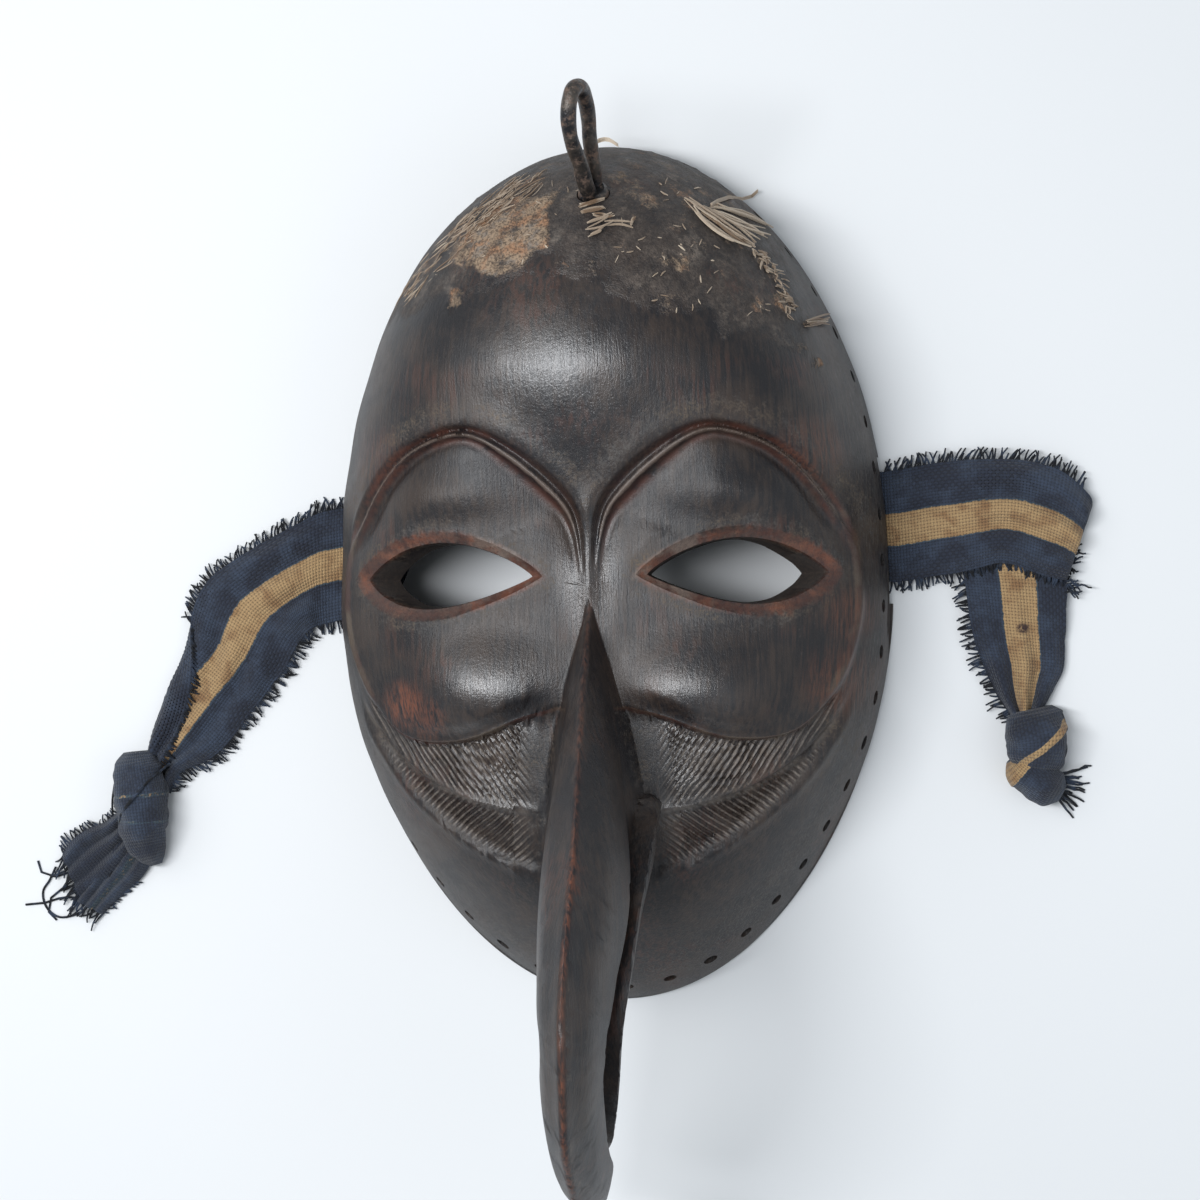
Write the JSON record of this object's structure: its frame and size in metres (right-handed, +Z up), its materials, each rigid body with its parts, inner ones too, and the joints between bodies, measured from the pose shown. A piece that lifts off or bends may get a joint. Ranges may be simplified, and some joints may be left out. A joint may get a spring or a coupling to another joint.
{
  "type": "carved face mask",
  "caption": "Carved wooden face mask with a long curved beak, slit eyes, an iron loop at the top and cloth ties. It covers the face, and hangs by its loop when it isn't worn.",
  "frame": {"origin": "under the middle of the whole object, ties included, on the surface that it lies on", "axes": "+Y from the chin to the forehead, +X to the viewer's right of the face, +Z up out of the face towards the beak"},
  "size_m": [0.311, 0.3052, 0.1269],
  "materials": {
    "wood": "very dark brown satin patina, worn to reddish brown on the edges, with dust in the carving",
    "iron": "forged black iron with a little rust",
    "cloth": "worn plain-weave indigo cotton with an ochre stripe and frayed edges"
  },
  "bodies": {
    "root": {"mask": "wood", "hanging-loop": "iron", "left-tie": "cloth", "right-tie": "cloth"}
  },
  "joints": []
}
